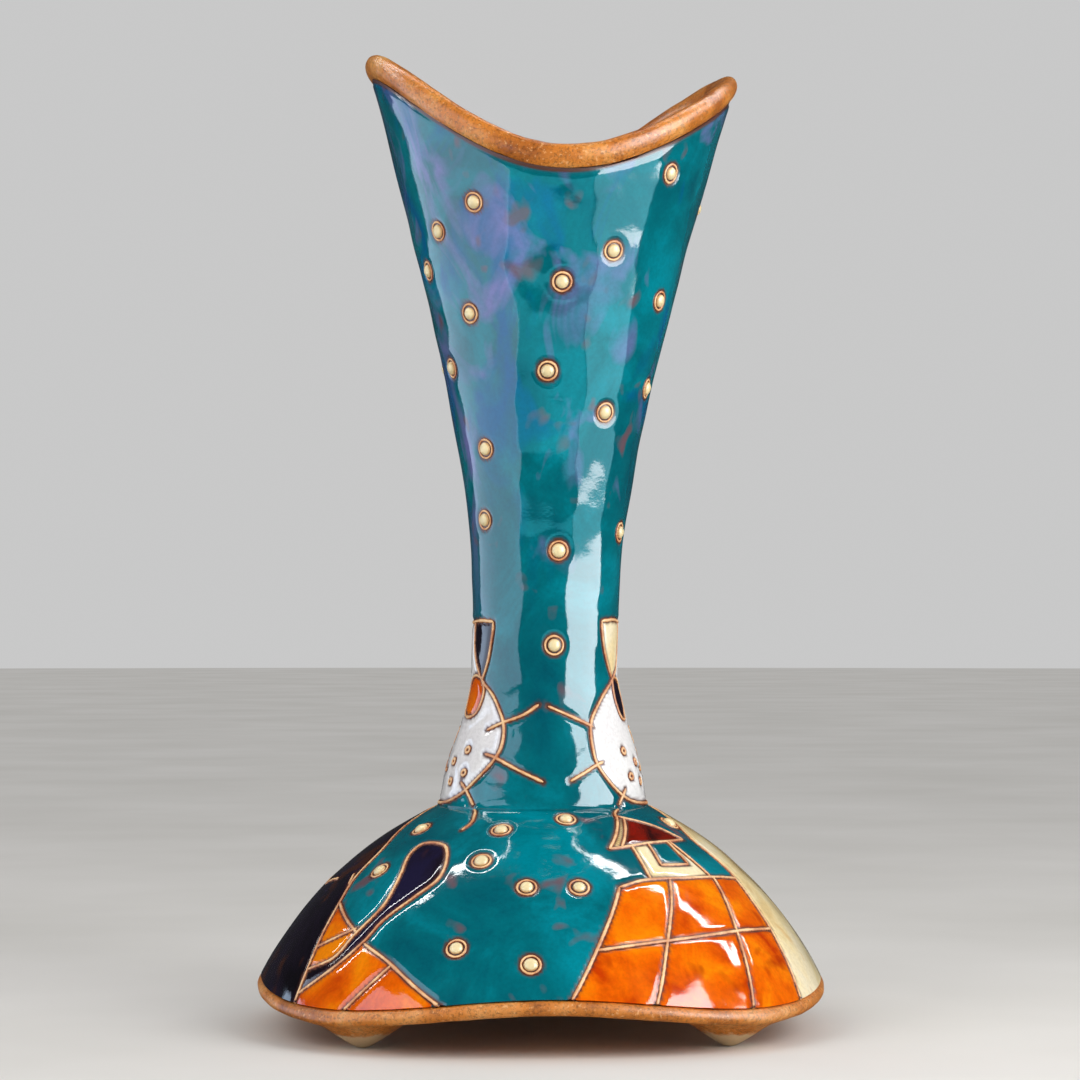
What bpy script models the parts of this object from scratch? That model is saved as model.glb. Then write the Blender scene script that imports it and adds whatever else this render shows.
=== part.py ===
"""Hand-built glazed stoneware vase: a flared neck with a saddle-shaped mouth on a squared, domed body with four feet.

The vase is luted together from clay pieces: a floor slab, a domed shoulder, a turned neck, a rolled mouth rim,
four knob feet and small slip beads. Each one is its own object here. Lengths are in millimetres, times MM.
Azimuth 0 is the front (-Y) and 90 degrees the right-hand side (+X). The base is centred on the origin.
"""

import math

import bmesh
import bpy
from mathutils import Matrix, Vector

MM = 0.001
GAP = 0.3  # clearance left between two luted pieces

# Lean of the whole pot above its level base: sideways drift towards +X, per millimetre of height
LEAN = 0.0157

# Domed shoulder: a circular arc in section, squared in plan towards its lower edge
EDGE_RADIUS = 72.0  # lower edge, at the middle of a side
EDGE_HEIGHT = 12.3  # lower edge, mean height above the table
JOINT_RADIUS = 26.6  # where the neck stands on the shoulder
JOINT_HEIGHT = 56.8
DOME_ARC_RADIUS = 91.7
SHOULDER_WALL = 4.8
BODY_TURN = math.radians(2.0)  # the squared base is turned this far from facing front
SQUARENESS = 2.4  # exponent of the plan's superellipse, 2 being a circle
CORNER_DIP = 1.8  # the edge swings this far down over each foot and up between the feet
FRONT_LIFT = 0.5  # the front and back edges arch higher than the sides by twice this

# Floor slab, whose rounded edge shows as the brown band
SLAB_THICKNESS = 3.7
SLAB_OVERHANG = 0.7
SLAB_CENTRE_HEIGHT = 13.2

# Feet
FOOT_REACH = 63.5  # from the vase's axis to the middle of each foot
FOOT_HEIGHT = 7.0  # before it is fitted to the slab
SOLE_RADIUS = 3.0

# Neck: a waisted, flared tube with a skirt at its foot
WAIST_RADIUS = 19.0
WAIST_HEIGHT = 104.5
FLARE_SLOPE = 0.311
SKIRT_TOP = 92.0
NECK_WALL = 4.6

# Mouth: the neck's top edge follows a saddle, high at the sides. Each figure is a swing either way in height, and
# each angle the azimuth it is measured from
MOUTH_HEIGHT = 230.2
SADDLE_RISE, SADDLE_TURN = 12.8, math.radians(8.0)  # two peaks and two dips
MOUTH_TILT, TILT_TURN = 2.4, math.radians(25.0)  # the whole mouth is lower at the front
MOUTH_SKEW, SKEW_TURN = 1.9, math.radians(18.0)  # a sharper peak on the left and a wider dip in front
RIM_HALF_WIDTH = 3.05
RIM_HEIGHT = 6.2

# Slip beads
BEAD_RADIUS = 1.9
BEAD_HEIGHT = 1.0
BEAD_SIDES = 8
BEAD_CLEARANCE = 0.4  # a little more than GAP, because the beads are flat and the clay under them is curved
NECK_BEADS = [  # (azimuth in degrees, height)
    (-32, 209), (49, 217), (97, 212), (-54, 203), (27, 197), (5, 189), (-70, 194), (-42, 182), (62, 186),
    (-1, 167), (-66, 169), (73, 164), (35, 157), (-44, 148), (-52, 130), (70, 127), (9, 122), (7, 98),
    (130, 206), (156, 196), (118, 182), (146, 166), (110, 148), (164, 142), (178, 182), (-158, 204),
    (-110, 206), (-132, 188), (-100, 170), (-148, 160), (-118, 140), (-162, 116),
]  # fmt: skip
SHOULDER_BEADS = [  # (azimuth in degrees, share of the way from the edge to the joint)
    (11, 0.93), (-17, 0.85), (-57, 0.83), (-53, 0.58), (-19, 0.66), (-4, 0.52), (10, 0.52),
    (-18, 0.24), (-2, 0.16), (69, 0.86),
]  # fmt: skip
BACK_TURN = 174  # the shoulder's beads come again at the back, turned this many degrees

SIDES = 48
FOOT_SIDES = 16


def azimuth_of(v):
    return math.atan2(v.x, -v.y)


def polar(azimuth, radius, height):
    return Vector((radius * math.sin(azimuth), -radius * math.cos(azimuth), height))


# ---------------------------------------------------------------- the shape of the body


def dome_centre():
    """Centre, in radius and height, of the arc that runs from the lower edge up to the neck joint."""
    edge = Vector((EDGE_RADIUS, EDGE_HEIGHT))
    joint = Vector((JOINT_RADIUS, JOINT_HEIGHT))
    chord = joint - edge
    inward = Vector((-chord.y, chord.x)).normalized()
    reach = math.sqrt(DOME_ARC_RADIUS**2 - (chord.length / 2) ** 2)
    return (edge + joint) / 2 + inward * reach


DOME_CENTRE = dome_centre()


def dome_angle(radius, height):
    return math.atan2(height - DOME_CENTRE.y, radius - DOME_CENTRE.x)


EDGE_ANGLE = dome_angle(EDGE_RADIUS, EDGE_HEIGHT)
JOINT_ANGLE = dome_angle(JOINT_RADIUS, JOINT_HEIGHT)


def dome_section(share, depth=0.0):
    """Radius and height on the dome, share of the way up its arc and depth below its outer face."""
    angle = EDGE_ANGLE + share * (JOINT_ANGLE - EDGE_ANGLE)
    reach = DOME_ARC_RADIUS - depth
    return DOME_CENTRE.x + reach * math.cos(angle), DOME_CENTRE.y + reach * math.sin(angle)


def squared_plan(azimuth):
    """How far the plan's edge lies out, as a multiple of its distance at the middle of a side."""
    turn = azimuth - BODY_TURN
    power = abs(math.cos(turn)) ** SQUARENESS + abs(math.sin(turn)) ** SQUARENESS
    return power ** (-1 / SQUARENESS)


def edge_wave(azimuth):
    turn = azimuth - BODY_TURN
    return CORNER_DIP * math.cos(4 * turn) + FRONT_LIFT * math.cos(2 * turn)


def lean(v):
    return Vector((v.x + LEAN * max(v.z - EDGE_HEIGHT, 0), v.y, v.z))


def shape_body(v):
    """Squares a turned body point in plan and swings its lower edge down to the feet. Both fade towards the neck."""
    azimuth = azimuth_of(v)
    radius = math.hypot(v.x, v.y)
    climb = min(max((v.z - EDGE_HEIGHT) / (JOINT_HEIGHT - EDGE_HEIGHT), 0), 1)
    plan = 1 + (squared_plan(azimuth) - 1) * (1 - climb**2)
    wave = edge_wave(azimuth) * (radius / EDGE_RADIUS) ** 2 * (1 - climb) ** 2
    return lean(polar(azimuth, radius * plan, v.z + wave))


def slab_rise(radius):
    """The slab's middle stands above its edge."""
    return (SLAB_CENTRE_HEIGHT - EDGE_HEIGHT) * (1 - (radius / EDGE_RADIUS) ** 2)


def slab_underside(x, y):
    """Height of the slab's lower face over a point on the table."""
    azimuth = math.atan2(x, -y)
    turned = math.hypot(x, y) / squared_plan(azimuth)
    wave = edge_wave(azimuth) * (turned / EDGE_RADIUS) ** 2
    return EDGE_HEIGHT - GAP / 2 - SLAB_THICKNESS + slab_rise(turned) + wave


# ---------------------------------------------------------------- the shape of the neck


def neck_radius(height):
    """Outer radius of the neck: a hyperbola above the waist, and a soft skirt below it."""
    flare = FLARE_SLOPE * max(height - WAIST_HEIGHT, 0)
    share = min(max((height - JOINT_HEIGHT) / (SKIRT_TOP - JOINT_HEIGHT), 0), 1)
    skirt = (JOINT_RADIUS - WAIST_RADIUS) * (1 - share**2 * (3 - 2 * share))
    return math.hypot(WAIST_RADIUS, flare) + skirt


def mouth_height(azimuth):
    """Height of the neck's top edge, under the rim."""
    saddle = SADDLE_RISE * math.cos(2 * (azimuth - SADDLE_TURN))
    tilt = MOUTH_TILT * math.cos(azimuth - TILT_TURN)
    skew = MOUTH_SKEW * math.cos(3 * (azimuth - SKEW_TURN))
    return MOUTH_HEIGHT - saddle - tilt + skew


def mouth_slope(azimuth):
    step = 0.01
    rise = mouth_height(azimuth + step) - mouth_height(azimuth - step)
    return rise / (2 * step * neck_radius(mouth_height(azimuth)))


def moved_up_the_neck(v, height):
    """Carries a turned point to another height, keeping its distance from the neck's outer face."""
    radius = math.hypot(v.x, v.y) + neck_radius(height) - neck_radius(v.z)
    return lean(polar(azimuth_of(v), radius, height))


def shape_neck(v):
    share = (v.z - JOINT_HEIGHT) / (MOUTH_HEIGHT - JOINT_HEIGHT)
    return moved_up_the_neck(v, JOINT_HEIGHT + share * (mouth_height(azimuth_of(v)) - JOINT_HEIGHT))


def shape_rim(v):
    """Lays the rolled rim along the saddle at an even thickness."""
    azimuth = azimuth_of(v)
    thickness = math.hypot(1, mouth_slope(azimuth))
    return moved_up_the_neck(v, mouth_height(azimuth) + (v.z - MOUTH_HEIGHT) * thickness)


# ---------------------------------------------------------------- making objects


def material(name, colour, roughness):
    made = bpy.data.materials.new(name)
    made.use_nodes = True
    shader = made.node_tree.nodes["Principled BSDF"]
    shader.inputs["Base Color"].default_value = (*colour, 1)
    shader.inputs["Roughness"].default_value = roughness
    shader.inputs["Metallic"].default_value = 0
    made.diffuse_color = (*colour, 1)
    return made


def turned_mesh(section, sides, closed):
    """Spins a section of (radius, height) points once round Z. A closed section makes a ring."""
    bm = bmesh.new()
    verts = [bm.verts.new((radius, 0, height)) for radius, height in section]
    edges = [bm.edges.new(pair) for pair in zip(verts, verts[1:])]
    if closed:
        edges.append(bm.edges.new((verts[-1], verts[0])))
    bmesh.ops.spin(
        bm,
        geom=verts + edges,
        cent=(0, 0, 0),
        axis=(0, 0, 1),
        angle=2 * math.pi,
        steps=sides,
        use_merge=True,
    )
    bmesh.ops.remove_doubles(bm, verts=bm.verts, dist=0.001)
    bmesh.ops.recalc_face_normals(bm, faces=bm.faces)
    return bm


def add_object(name, bm, finish, place=(0, 0, 0)):
    """Turns a bmesh in millimetres into an object in metres."""
    bmesh.ops.triangulate(bm, faces=bm.faces)
    bmesh.ops.scale(bm, vec=(MM, MM, MM), verts=bm.verts)
    mesh = bpy.data.meshes.new(name)
    bm.to_mesh(mesh)
    bm.free()
    mesh.shade_smooth()
    mesh.set_sharp_from_angle(angle=math.radians(50))
    mesh.materials.append(finish)
    made = bpy.data.objects.new(name, mesh)
    made.location = Vector(place) * MM
    bpy.context.scene.collection.objects.link(made)
    return made


def reshape(bm, shape):
    for v in bm.verts:
        v.co = shape(v.co)
    return bm


# ---------------------------------------------------------------- the pieces


def add_shoulder(finish):
    """The domed shell. It stands on the slab, and its flat top carries the neck."""
    steps = 8
    bore = JOINT_RADIUS - NECK_WALL
    inner_reach = DOME_ARC_RADIUS - SHOULDER_WALL
    inner_top = math.acos((bore - DOME_CENTRE.x) / inner_reach)
    inner_share = (inner_top - EDGE_ANGLE) / (JOINT_ANGLE - EDGE_ANGLE)
    outer = [dome_section(i / steps) for i in range(steps + 1)]
    outer[0] = (outer[0][0], EDGE_HEIGHT + GAP / 2)
    inner = [dome_section(inner_share * (1 - i / steps), SHOULDER_WALL) for i in range(steps)]
    foot_radius = EDGE_RADIUS - SHOULDER_WALL
    foot = (foot_radius, EDGE_HEIGHT + GAP / 2 + slab_rise(foot_radius))
    section = outer + [(bore, JOINT_HEIGHT)] + inner + [foot]
    return add_object("shoulder", reshape(turned_mesh(section, SIDES, True), shape_body), finish)


def add_floor_slab(finish):
    """The slab that closes the body. Its edge is a half-round band just proud of the shoulder."""
    top = EDGE_HEIGHT - GAP / 2
    bottom = top - SLAB_THICKNESS
    middle = (top + bottom) / 2
    nose = SLAB_THICKNESS / 2
    centre = EDGE_RADIUS + SLAB_OVERHANG - nose
    radii = [0, 20, 40, 58]
    lower = [(r, bottom + slab_rise(r)) for r in radii]
    upper = [(r, top + slab_rise(r)) for r in reversed(radii)]
    turns = [math.radians(-90 + 180 * i / 6) for i in range(7)]
    edge = [(centre + nose * math.cos(a), middle + nose * math.sin(a) + slab_rise(centre)) for a in turns]
    slab = turned_mesh(lower + edge + upper, SIDES, False)
    return add_object("floor_slab", reshape(slab, shape_body), finish)


def add_foot(name, x, y, finish):
    """A turned knob with a small flat sole. Its top is fitted to the slab over it."""
    section = [
        (0, 0),
        (SOLE_RADIUS, 0),
        (SOLE_RADIUS + 2.2, 0.8),
        (SOLE_RADIUS + 4.0, 2.6),
        (SOLE_RADIUS + 5.4, 4.8),
        (SOLE_RADIUS + 8.0, FOOT_HEIGHT),
        (0, FOOT_HEIGHT),
    ]
    knob = turned_mesh(section, FOOT_SIDES, False)

    def fitted(v):
        room = slab_underside(x + v.x, y + v.y) - GAP
        return Vector((v.x, v.y, v.z * room / FOOT_HEIGHT))

    return add_object(name, reshape(knob, fitted), finish, place=(x, y, 0))


def add_neck(finish):
    """The flared tube, cut to the saddle at its top."""
    heights = [JOINT_HEIGHT + GAP, 62, 68, 74, 80, 86, 95, 106, 120, 138, 158, 180, 203, MOUTH_HEIGHT - GAP]
    outer = [(neck_radius(z), z) for z in heights]
    inner = [(neck_radius(z) - NECK_WALL, z) for z in reversed(heights)]
    neck = turned_mesh(outer + inner, SIDES, True)
    return add_object("neck", reshape(neck, shape_neck), finish)


def add_mouth_rim(finish):
    """A roll of clay, flat underneath, laid along the neck's top edge and tilted with its flare."""
    tilt = math.atan(FLARE_SLOPE)
    centre_height = 2.6
    half_height = RIM_HEIGHT - centre_height
    start = math.asin(-centre_height / half_height)
    mid_radius = neck_radius(MOUTH_HEIGHT) - NECK_WALL / 2
    section = []
    for i in range(11):
        turn = start + (math.pi - 2 * start) * i / 10
        across = RIM_HALF_WIDTH * math.cos(turn)
        up = centre_height + half_height * math.sin(turn)
        radius = mid_radius + across * math.cos(tilt) + up * math.sin(tilt)
        section.append((radius, MOUTH_HEIGHT + up * math.cos(tilt) - 0.1 * (across * math.sin(tilt))))
    section[0] = (section[0][0], MOUTH_HEIGHT)
    section[-1] = (section[-1][0], MOUTH_HEIGHT)
    rim = turned_mesh(section, SIDES, True)
    return add_object("mouth_rim", reshape(rim, shape_rim), finish)


def neck_point(azimuth, height):
    return lean(polar(azimuth, neck_radius(height), height))


def shoulder_point(azimuth, share):
    radius, height = dome_section(share)
    return shape_body(polar(azimuth, radius, height))


def bead_frame(surface, azimuth, along):
    """A frame on a surface at (azimuth, along), with Z pointing out of it."""
    step = 0.001
    point = surface(azimuth, along)
    sideways = surface(azimuth + step, along) - point
    upwards = surface(azimuth, along + step) - point
    outward = sideways.cross(upwards).normalized()
    frame = outward.to_track_quat("Z", "Y").to_matrix().to_4x4()
    return Matrix.Translation((point + outward * BEAD_CLEARANCE) * MM) @ frame


def add_beads(name, surface, places, finish):
    """Small domed buttons of slip on one surface, one object each, sharing one mesh."""
    section = [(0, 0), (BEAD_RADIUS, 0), (BEAD_RADIUS * 0.87, BEAD_HEIGHT * 0.55), (0, BEAD_HEIGHT)]
    first = None
    for number, (azimuth, along) in enumerate(places, start=1):
        if first is None:
            bead = first = add_object(f"{name}_{number:02}", turned_mesh(section, BEAD_SIDES, False), finish)
        else:
            bead = bpy.data.objects.new(f"{name}_{number:02}", first.data)
            bpy.context.scene.collection.objects.link(bead)
        bead.matrix_world = bead_frame(surface, math.radians(azimuth), along)


def front_and_back(places):
    return places + [(azimuth + BACK_TURN, share) for azimuth, share in places]


def main():
    for old in list(bpy.data.objects):
        bpy.data.objects.remove(old)
    teal = material("teal_glaze", (0.0, 0.22, 0.24), 0.12)
    clay = material("iron_washed_clay", (0.52, 0.22, 0.07), 0.45)
    pale_clay = material("bare_clay", (0.62, 0.42, 0.24), 0.6)
    slip = material("cream_slip", (0.85, 0.72, 0.46), 0.25)
    add_floor_slab(clay)
    add_shoulder(teal)
    add_neck(teal)
    add_mouth_rim(clay)
    for corner, quarter in (("front_right", 45), ("back_right", 135), ("back_left", 225), ("front_left", 315)):
        middle = polar(math.radians(quarter) + BODY_TURN, FOOT_REACH, 0)
        add_foot(f"foot_{corner}", middle.x, middle.y, pale_clay)
    add_beads("neck_bead", neck_point, NECK_BEADS, slip)
    add_beads("shoulder_bead", shoulder_point, front_and_back(SHOULDER_BEADS), slip)


main()
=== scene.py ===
import math

import bmesh
import bpy
import numpy as np
from mathutils import Matrix, Vector, noise
from mathutils.bvhtree import BVHTree
from mathutils.kdtree import KDTree


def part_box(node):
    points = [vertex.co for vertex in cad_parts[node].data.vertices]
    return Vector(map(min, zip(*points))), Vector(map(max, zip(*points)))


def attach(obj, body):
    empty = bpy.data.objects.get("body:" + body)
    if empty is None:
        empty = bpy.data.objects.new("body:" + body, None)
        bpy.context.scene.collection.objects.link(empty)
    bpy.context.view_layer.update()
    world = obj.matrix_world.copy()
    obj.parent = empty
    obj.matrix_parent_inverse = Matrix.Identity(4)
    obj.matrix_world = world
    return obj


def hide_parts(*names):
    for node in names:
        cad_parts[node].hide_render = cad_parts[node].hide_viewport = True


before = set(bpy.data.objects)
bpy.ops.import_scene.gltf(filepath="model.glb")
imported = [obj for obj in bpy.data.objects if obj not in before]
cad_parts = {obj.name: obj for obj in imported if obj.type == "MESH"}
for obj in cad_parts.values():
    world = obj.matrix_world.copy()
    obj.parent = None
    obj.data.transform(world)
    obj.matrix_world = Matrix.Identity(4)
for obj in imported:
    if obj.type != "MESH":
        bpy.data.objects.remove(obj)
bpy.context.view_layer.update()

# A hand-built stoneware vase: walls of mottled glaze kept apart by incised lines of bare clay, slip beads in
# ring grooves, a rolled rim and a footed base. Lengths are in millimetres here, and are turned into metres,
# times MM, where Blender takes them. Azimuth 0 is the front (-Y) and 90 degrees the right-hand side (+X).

bl_info = {
    "name": "Glazed Vase",
    "version": (1, 0, 0),
    "blender": (4, 5, 0),
    "location": "3D View > Sidebar > Vase",
    "description": "Makes a hand-built glazed vase, piece by piece, around its CAD model",
    "category": "Add Mesh",
}

MM = 0.001

# The pot's shape, as the CAD model has it
LEAN = 0.0157
EDGE_RADIUS, EDGE_HEIGHT = 72.0, 12.3
JOINT_RADIUS, JOINT_HEIGHT = 26.6, 56.8
DOME_ARC_RADIUS = 91.7
SQUARENESS = 2.4
BODY_TURN = math.radians(2.0)
CORNER_DIP, FRONT_LIFT = 1.8, 0.5
SLAB_THICKNESS, SLAB_OVERHANG, SLAB_CENTRE_HEIGHT = 3.7, 0.7, 13.2
WAIST_RADIUS, WAIST_HEIGHT = 19.0, 104.5
FLARE_SLOPE, SKIRT_TOP = 0.311, 92.0
MOUTH_HEIGHT = 230.2
SADDLE_RISE, SADDLE_TURN = 12.8, math.radians(8.0)
MOUTH_TILT, TILT_TURN = 2.4, math.radians(25.0)
MOUTH_SKEW, SKEW_TURN = 1.9, math.radians(18.0)
RIM_HALF_WIDTH, RIM_HEIGHT = 3.05, 6.2
FOOT_REACH = 63.5

# What the CAD model leaves plain: the walls, the luted joint, and the feet drawn out of the slab
NECK_WALL, SHOULDER_WALL = 4.6, 4.8
JOINT_FILLET, JOINT_OVERLAP = 0.9, 0.6
SHOULDER_SPAN, SHOULDER_INNER_SPAN = (0.004, 1.03), (1.0, 0.03)  # shares of the way up, from end to end
SLAB_SEAT = 0.1  # how far the slab's top lies below the dome's edge
FOOT_SLOPE, FOOT_TIP_RADIUS, FOOT_BLEND = 0.7, 2.2, 0.8
FOOT_BARE, FOOT_WASHED = 3, 10  # clay is bare out to the first distance, and all washed past the second
BEAD_SQUASH, BEAD_SINK = 0.66, 0.35

# Swells that hands leave in a wall: their size, and how far they are drawn out upwards
BROAD_SWELL, SMALL_SWELL = (13, 1.25), (6, 1.3)
SMALL_SWELL_SHARE = 0.2
SHOULDER_MARKS = 0.4  # share of the neck's hand marks

# The groove along a line, by distance from its middle: the floor and top of its sides, the glaze that swells
# beside it, and where bare clay and the painted shade of the groove give way to glaze
GROOVE_SIDE = (0.35, 1.5)
SWELL_SHARE, SWELL_RISE, SWELL_FALL = 0.12, (0.9, 1.7), (1.8, 3.4)
BARE_AND_GROOVE_SHADE_TO_GLAZED = (0.5, 1.25)
GROOVE_BELOW_MOUTH = 0.4
RING_LINE_SHARE = 0.7  # of a line's width and height
DOT_HALF_WIDTH, DOT_HALF_HEIGHT = 2.1, 0.7  # degrees, millimetres

# How finely the pieces are turned, and how closely points stand along a line
NECK_STEPS, NECK_ROWS, NECK_INNER_ROWS = 320, 216, 36
SHOULDER_STEPS, SHOULDER_ROWS, SHOULDER_INNER_ROWS = 512, 92, 14
RIM_ROWS, BASE_STEPS, NOSE_ROWS, UNDERSIDE_STEP = 30, 448, 17, 0.9
BEAD_STEPS, BEAD_ROWS, RING_STEPS = 28, 9, 36
LINE_SPACING, DOT_SPACING = 0.5, 0.3
SMOOTH_ANGLE = math.radians(40)

# A glaze stops this close to a line, and no field is a larger share of its wall than this
LINE_REACH, LARGEST_FIELD = 0.6, 0.2

# Incised lines on the neck, as (azimuth in degrees, height). A line whose ends meet is a loop
LEFT_HEAD = [
    # ear
    [(-45, 104), (-60, 104.3), (-76, 104), (-90, 103.8)],
    [(-45, 104), (-45.5, 101), (-51, 94), (-58, 89)],
    [(-76, 104), (-75, 97), (-69, 93), (-61, 89.8)],
    # cheek, and the patch round the eye
    [(-58, 89), (-43, 85.5), (-33, 81), (-28.5, 77.5), (-27.5, 73.5), (-30, 70), (-37, 66), (-50, 61),
     (-63, 58.4), (-76, 57.3), (-90, 57)],
    [(-61, 89.8), (-53.5, 87), (-53.4, 84), (-58, 80.6), (-70, 79.5), (-82, 81), (-85, 85), (-76, 89.6),
     (-61, 89.8)],
    # whiskers
    [(-42, 76.5), (-30, 78.4), (-15, 80.4), (-4, 83)],
    [(-39, 70.6), (-29.5, 69.5), (-14, 66.5), (0, 63.7)],
    [(-55, 63.2), (-48, 61), (-41, 57.4)],
    # nose and mouth
    [(-90, 77), (-84.5, 76.4)],
    [(-84.5, 76.4), (-90, 72)],
    [(-90, 72), (-90, 68.5)],
    [(-90, 68.5), (-86, 65.8), (-80, 66.2)],
]  # fmt: skip
RIGHT_HEAD = [
    # ear
    [(50, 104.2), (68, 104.5), (90, 103.8)],
    [(50, 104.2), (50.5, 101.5), (55, 96), (66, 89.6)],
    [(84, 104.2), (83, 97), (78, 92), (69, 89.6)],
    # cheek, and the patch round the eye
    [(69, 89.6), (50, 85), (37, 80.3), (32.5, 76.5), (32, 71), (34.5, 67), (44, 62), (57, 58.5), (75, 57.2),
     (90, 57)],
    [(69, 89.6), (66.5, 87), (67, 83), (71, 79.4), (80, 79.2), (86, 83), (82, 88.4), (69, 89.6)],
    # whiskers
    [(2.5, 82.6), (17, 80.4), (35, 77.4)],
    [(38, 68.5), (32, 67.6), (15.5, 63.9)],
    [(54, 61.5), (46, 57.4)],
    # nose and mouth
    [(90, 77), (84.5, 76.4)],
    [(84.5, 76.4), (90, 72)],
    [(90, 72), (90, 68.5)],
    [(90, 68.5), (86, 65.8), (80, 66.2)],
]  # fmt: skip
CHEEK_DOTS = [(-56, 71.4), (-70, 68.2), (-54, 65.6), (-68, 63.1), (60, 71), (74, 68), (62, 64.5), (76, 63)]

# Incised lines on the shoulder, as (azimuth in degrees, share of the way from the edge to the neck)
FLANKS = [
    # left animal: back, fur and a whisker's end
    [(-90, 0.99), (-80, 0.88), (-66, 0.7), (-62, 0.53), (-58, 0.41), (-55.3, 0.27), (-53.2, 0.13),
     (-52.4, 0)],
    [(-65.3, 0.545), (-61.5, 0.49)],
    [(-75, 0.5), (-83, 0.475), (-90, 0.44)],
    [(-41, 1.0), (-37, 0.97), (-33, 0.9), (-34, 0.84)],
    # right animal: back and a whisker's end
    [(90, 0.99), (76, 0.86), (66.5, 0.734), (66.3, 0.559), (63.2, 0.403), (61.3, 0.259), (58.3, 0)],
    [(46, 1.0), (39.5, 0.965), (37, 0.93)],
]  # fmt: skip
HOUSE = [
    # gable and roof
    [(38, 0.94), (23, 0.727)],
    [(23, 0.727), (41, 0.752), (60, 0.755)],
    [(38, 0.94), (52, 0.866), (60, 0.755)],
    [(40.5, 0.92), (28, 0.737)],
    # walls and window
    [(32, 0.742), (31, 0.555)],
    [(50.4, 0.755), (53, 0.546)],
    [(39.3, 0.752), (37.5, 0.626)],
    [(37.5, 0.626), (48.3, 0.62)],
    [(48.3, 0.62), (49.2, 0.755)],
]
TILES_AND_TAIL = [
    # roof tiles on the right
    [(20.8, 0.518), (31, 0.555), (52.6, 0.546), (66.4, 0.519)],
    [(20.8, 0.518), (13, 0.265), (5.9, 0)],
    [(11.8, 0.223), (28, 0.271), (47.6, 0.299), (62, 0.282)],
    [(37, 0.553), (28, 0.271), (22, 0)],
    [(54, 0.545), (47.7, 0.299), (42.7, 0)],
    # tail, and the small tiles on both sides of it
    [(-53, 0.13), (-46.4, 0.19), (-44, 0.287), (-41, 0.4), (-41, 0.48), (-43, 0.58), (-46.5, 0.68),
     (-45, 0.745), (-35.5, 0.74), (-30.5, 0.66), (-29.3, 0.56), (-33, 0.47), (-38, 0.36), (-40.3, 0.262),
     (-45, 0.155), (-52.4, 0.04)],
    [(-58, 0.41), (-43.5, 0.295)],
    [(-54.3, 0.22), (-44.5, 0.315)],
    [(-40, 0.256), (-31, 0.175), (-18.6, 0)],
    [(-31, 0.175), (-38.5, 0)],
]  # fmt: skip
BACK_TURN = 174  # the tiles and tail come again at the back, turned this many degrees

# Where each glaze is poured. It fills its field up to the lines round it, and teal is everywhere else
LEFT_FILLS = [
    ("navy", -60, 98), ("white", -88, 97), ("orange", -70, 85), ("white", -46, 74), ("navy", -89, 75),
]  # fmt: skip
RIGHT_FILLS = [
    ("cream", 68, 99), ("cream", 88, 97), ("navy", 77, 84), ("white", 48, 74), ("navy", 89, 75),
]  # fmt: skip
FLANK_FILLS = [("navy", -70, 0.2), ("cream", 70, 0.2)]
TILE_FILLS = [
    ("orange", 25, 0.42), ("orange", 40, 0.42), ("orange", 57, 0.42),
    ("orange", 17, 0.12), ("orange", 35, 0.12), ("orange", 51, 0.12),
    ("navy", -38, 0.63), ("navy", -39.5, 0.42), ("navy", -51.3, 0.1),
    ("orange", -52, 0.33), ("orange", -50.5, 0.21), ("orange", -41, 0.1), ("orange", -28, 0.07),
]  # fmt: skip
HOUSE_FILLS = [("cream", 32, 0.83), ("roof", 42, 0.83), ("cream", 34.5, 0.65), ("cream", 44, 0.585)]

# Soft boxes of light: place, what they face, the way their width runs, width and height, power in watts, and
# colour. The glaze only mirrors the first set. The second set lights the pot and isn't mirrored
GLAZE_LIGHTS = [
    ((-592, -99, 25), (0, 0, 25), (-99, 592, 0), (1180, 450), 5.2, (0.6, 0.76, 1.0)),
    ((-509, -318, 385), (0, 0, 385), (-318, 509, 0), (367, 270), 1.0, (0.6, 0.76, 1.0)),
    ((706, -376, 250), (0, 0, 250), (376, 706, 0), (696, 500), 14.3, (0.86, 0.95, 1.0)),
    ((655, -459, 610), (0, 0, 610), (459, 655, 0), (429, 220), 3.8, (0.86, 0.95, 1.0)),
    ((706, -376, -150), (0, 0, -150), (376, 706, 0), (696, 300), 2.6, (0.3, 0.85, 1.0)),
    ((0, -700, -155), (0, 0, -155), (1, 0, 0), (1060, 200), 1.7, (0.09, 0.78, 0.95)),
    ((-228, 60, 393), (0, 0, 30), (356, 0, 224), (420, 28), 0.8, (1.0, 1.0, 1.0)),
    ((228, 60, 393), (0, 0, 30), (-356, 0, 224), (420, 28), 0.95, (1.0, 1.0, 1.0)),
]
FILL_LIGHTS = [
    ((-420, -520, 480), (0, 0, 110), (1, 0, 0), (420, 420), 1.5, (1.0, 0.98, 0.96)),
    ((440, -380, 380), (0, 0, 110), (1, 0, 0), (420, 420), 2.6, (1.0, 0.98, 0.96)),
]
DAYLIGHT = 0.72
FLOOR_RADIUS = 6000
CAMERA_DISTANCE, CAMERA_HEIGHT, CAMERA_PITCH = 806, 104.4, math.radians(1.48)
CAMERA_LENS, CAMERA_SENSOR = 103.3, 36

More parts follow.
